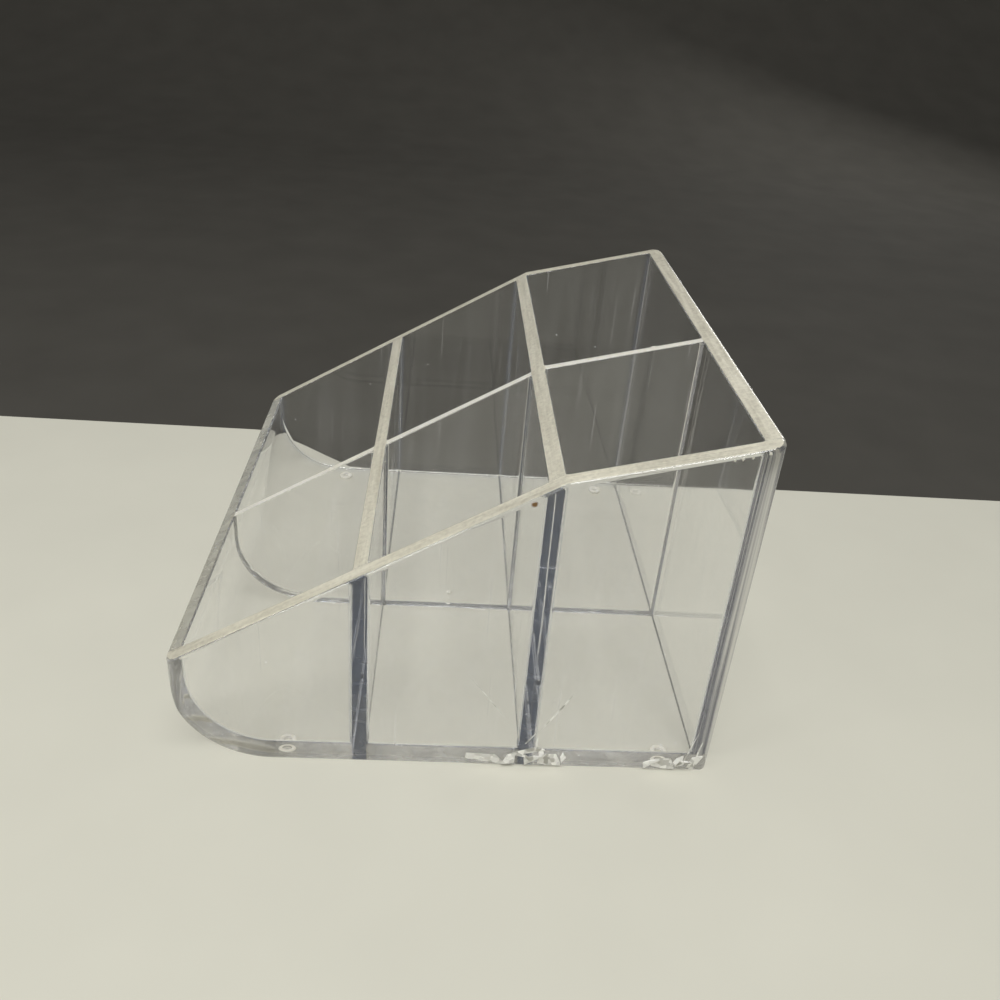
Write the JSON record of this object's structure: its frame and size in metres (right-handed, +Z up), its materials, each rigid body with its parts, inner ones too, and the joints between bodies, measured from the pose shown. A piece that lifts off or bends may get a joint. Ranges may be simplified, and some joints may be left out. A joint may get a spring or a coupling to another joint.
{
  "type": "makeup organizer",
  "caption": "Clear slanted makeup organizer with open compartments in rows and columns, a scooped front, a high back and small feet.",
  "frame": {"origin": "on the table, under the middle of the organizer's outer box", "axes": "+X to the right seen from the front, +Y from front to back, +Z up"},
  "size_m": [0.171, 0.152, 0.107],
  "materials": {
    "clear_acrylic": "clear, polished faces with satin cut rims",
    "clear_foot": "clear"
  },
  "bodies": {
    "root": {"left_side_panel": "clear_acrylic", "right_side_panel": "clear_acrylic", "front_floor_panel": "clear_acrylic", "back_panel": "clear_acrylic", "centre_divider": "clear_acrylic", "front_cross_divider": "clear_acrylic", "rear_cross_divider": "clear_acrylic", "foot_front_left": "clear_foot", "foot_front_right": "clear_foot", "foot_rear_left": "clear_foot", "foot_rear_right": "clear_foot"}
  },
  "joints": []
}
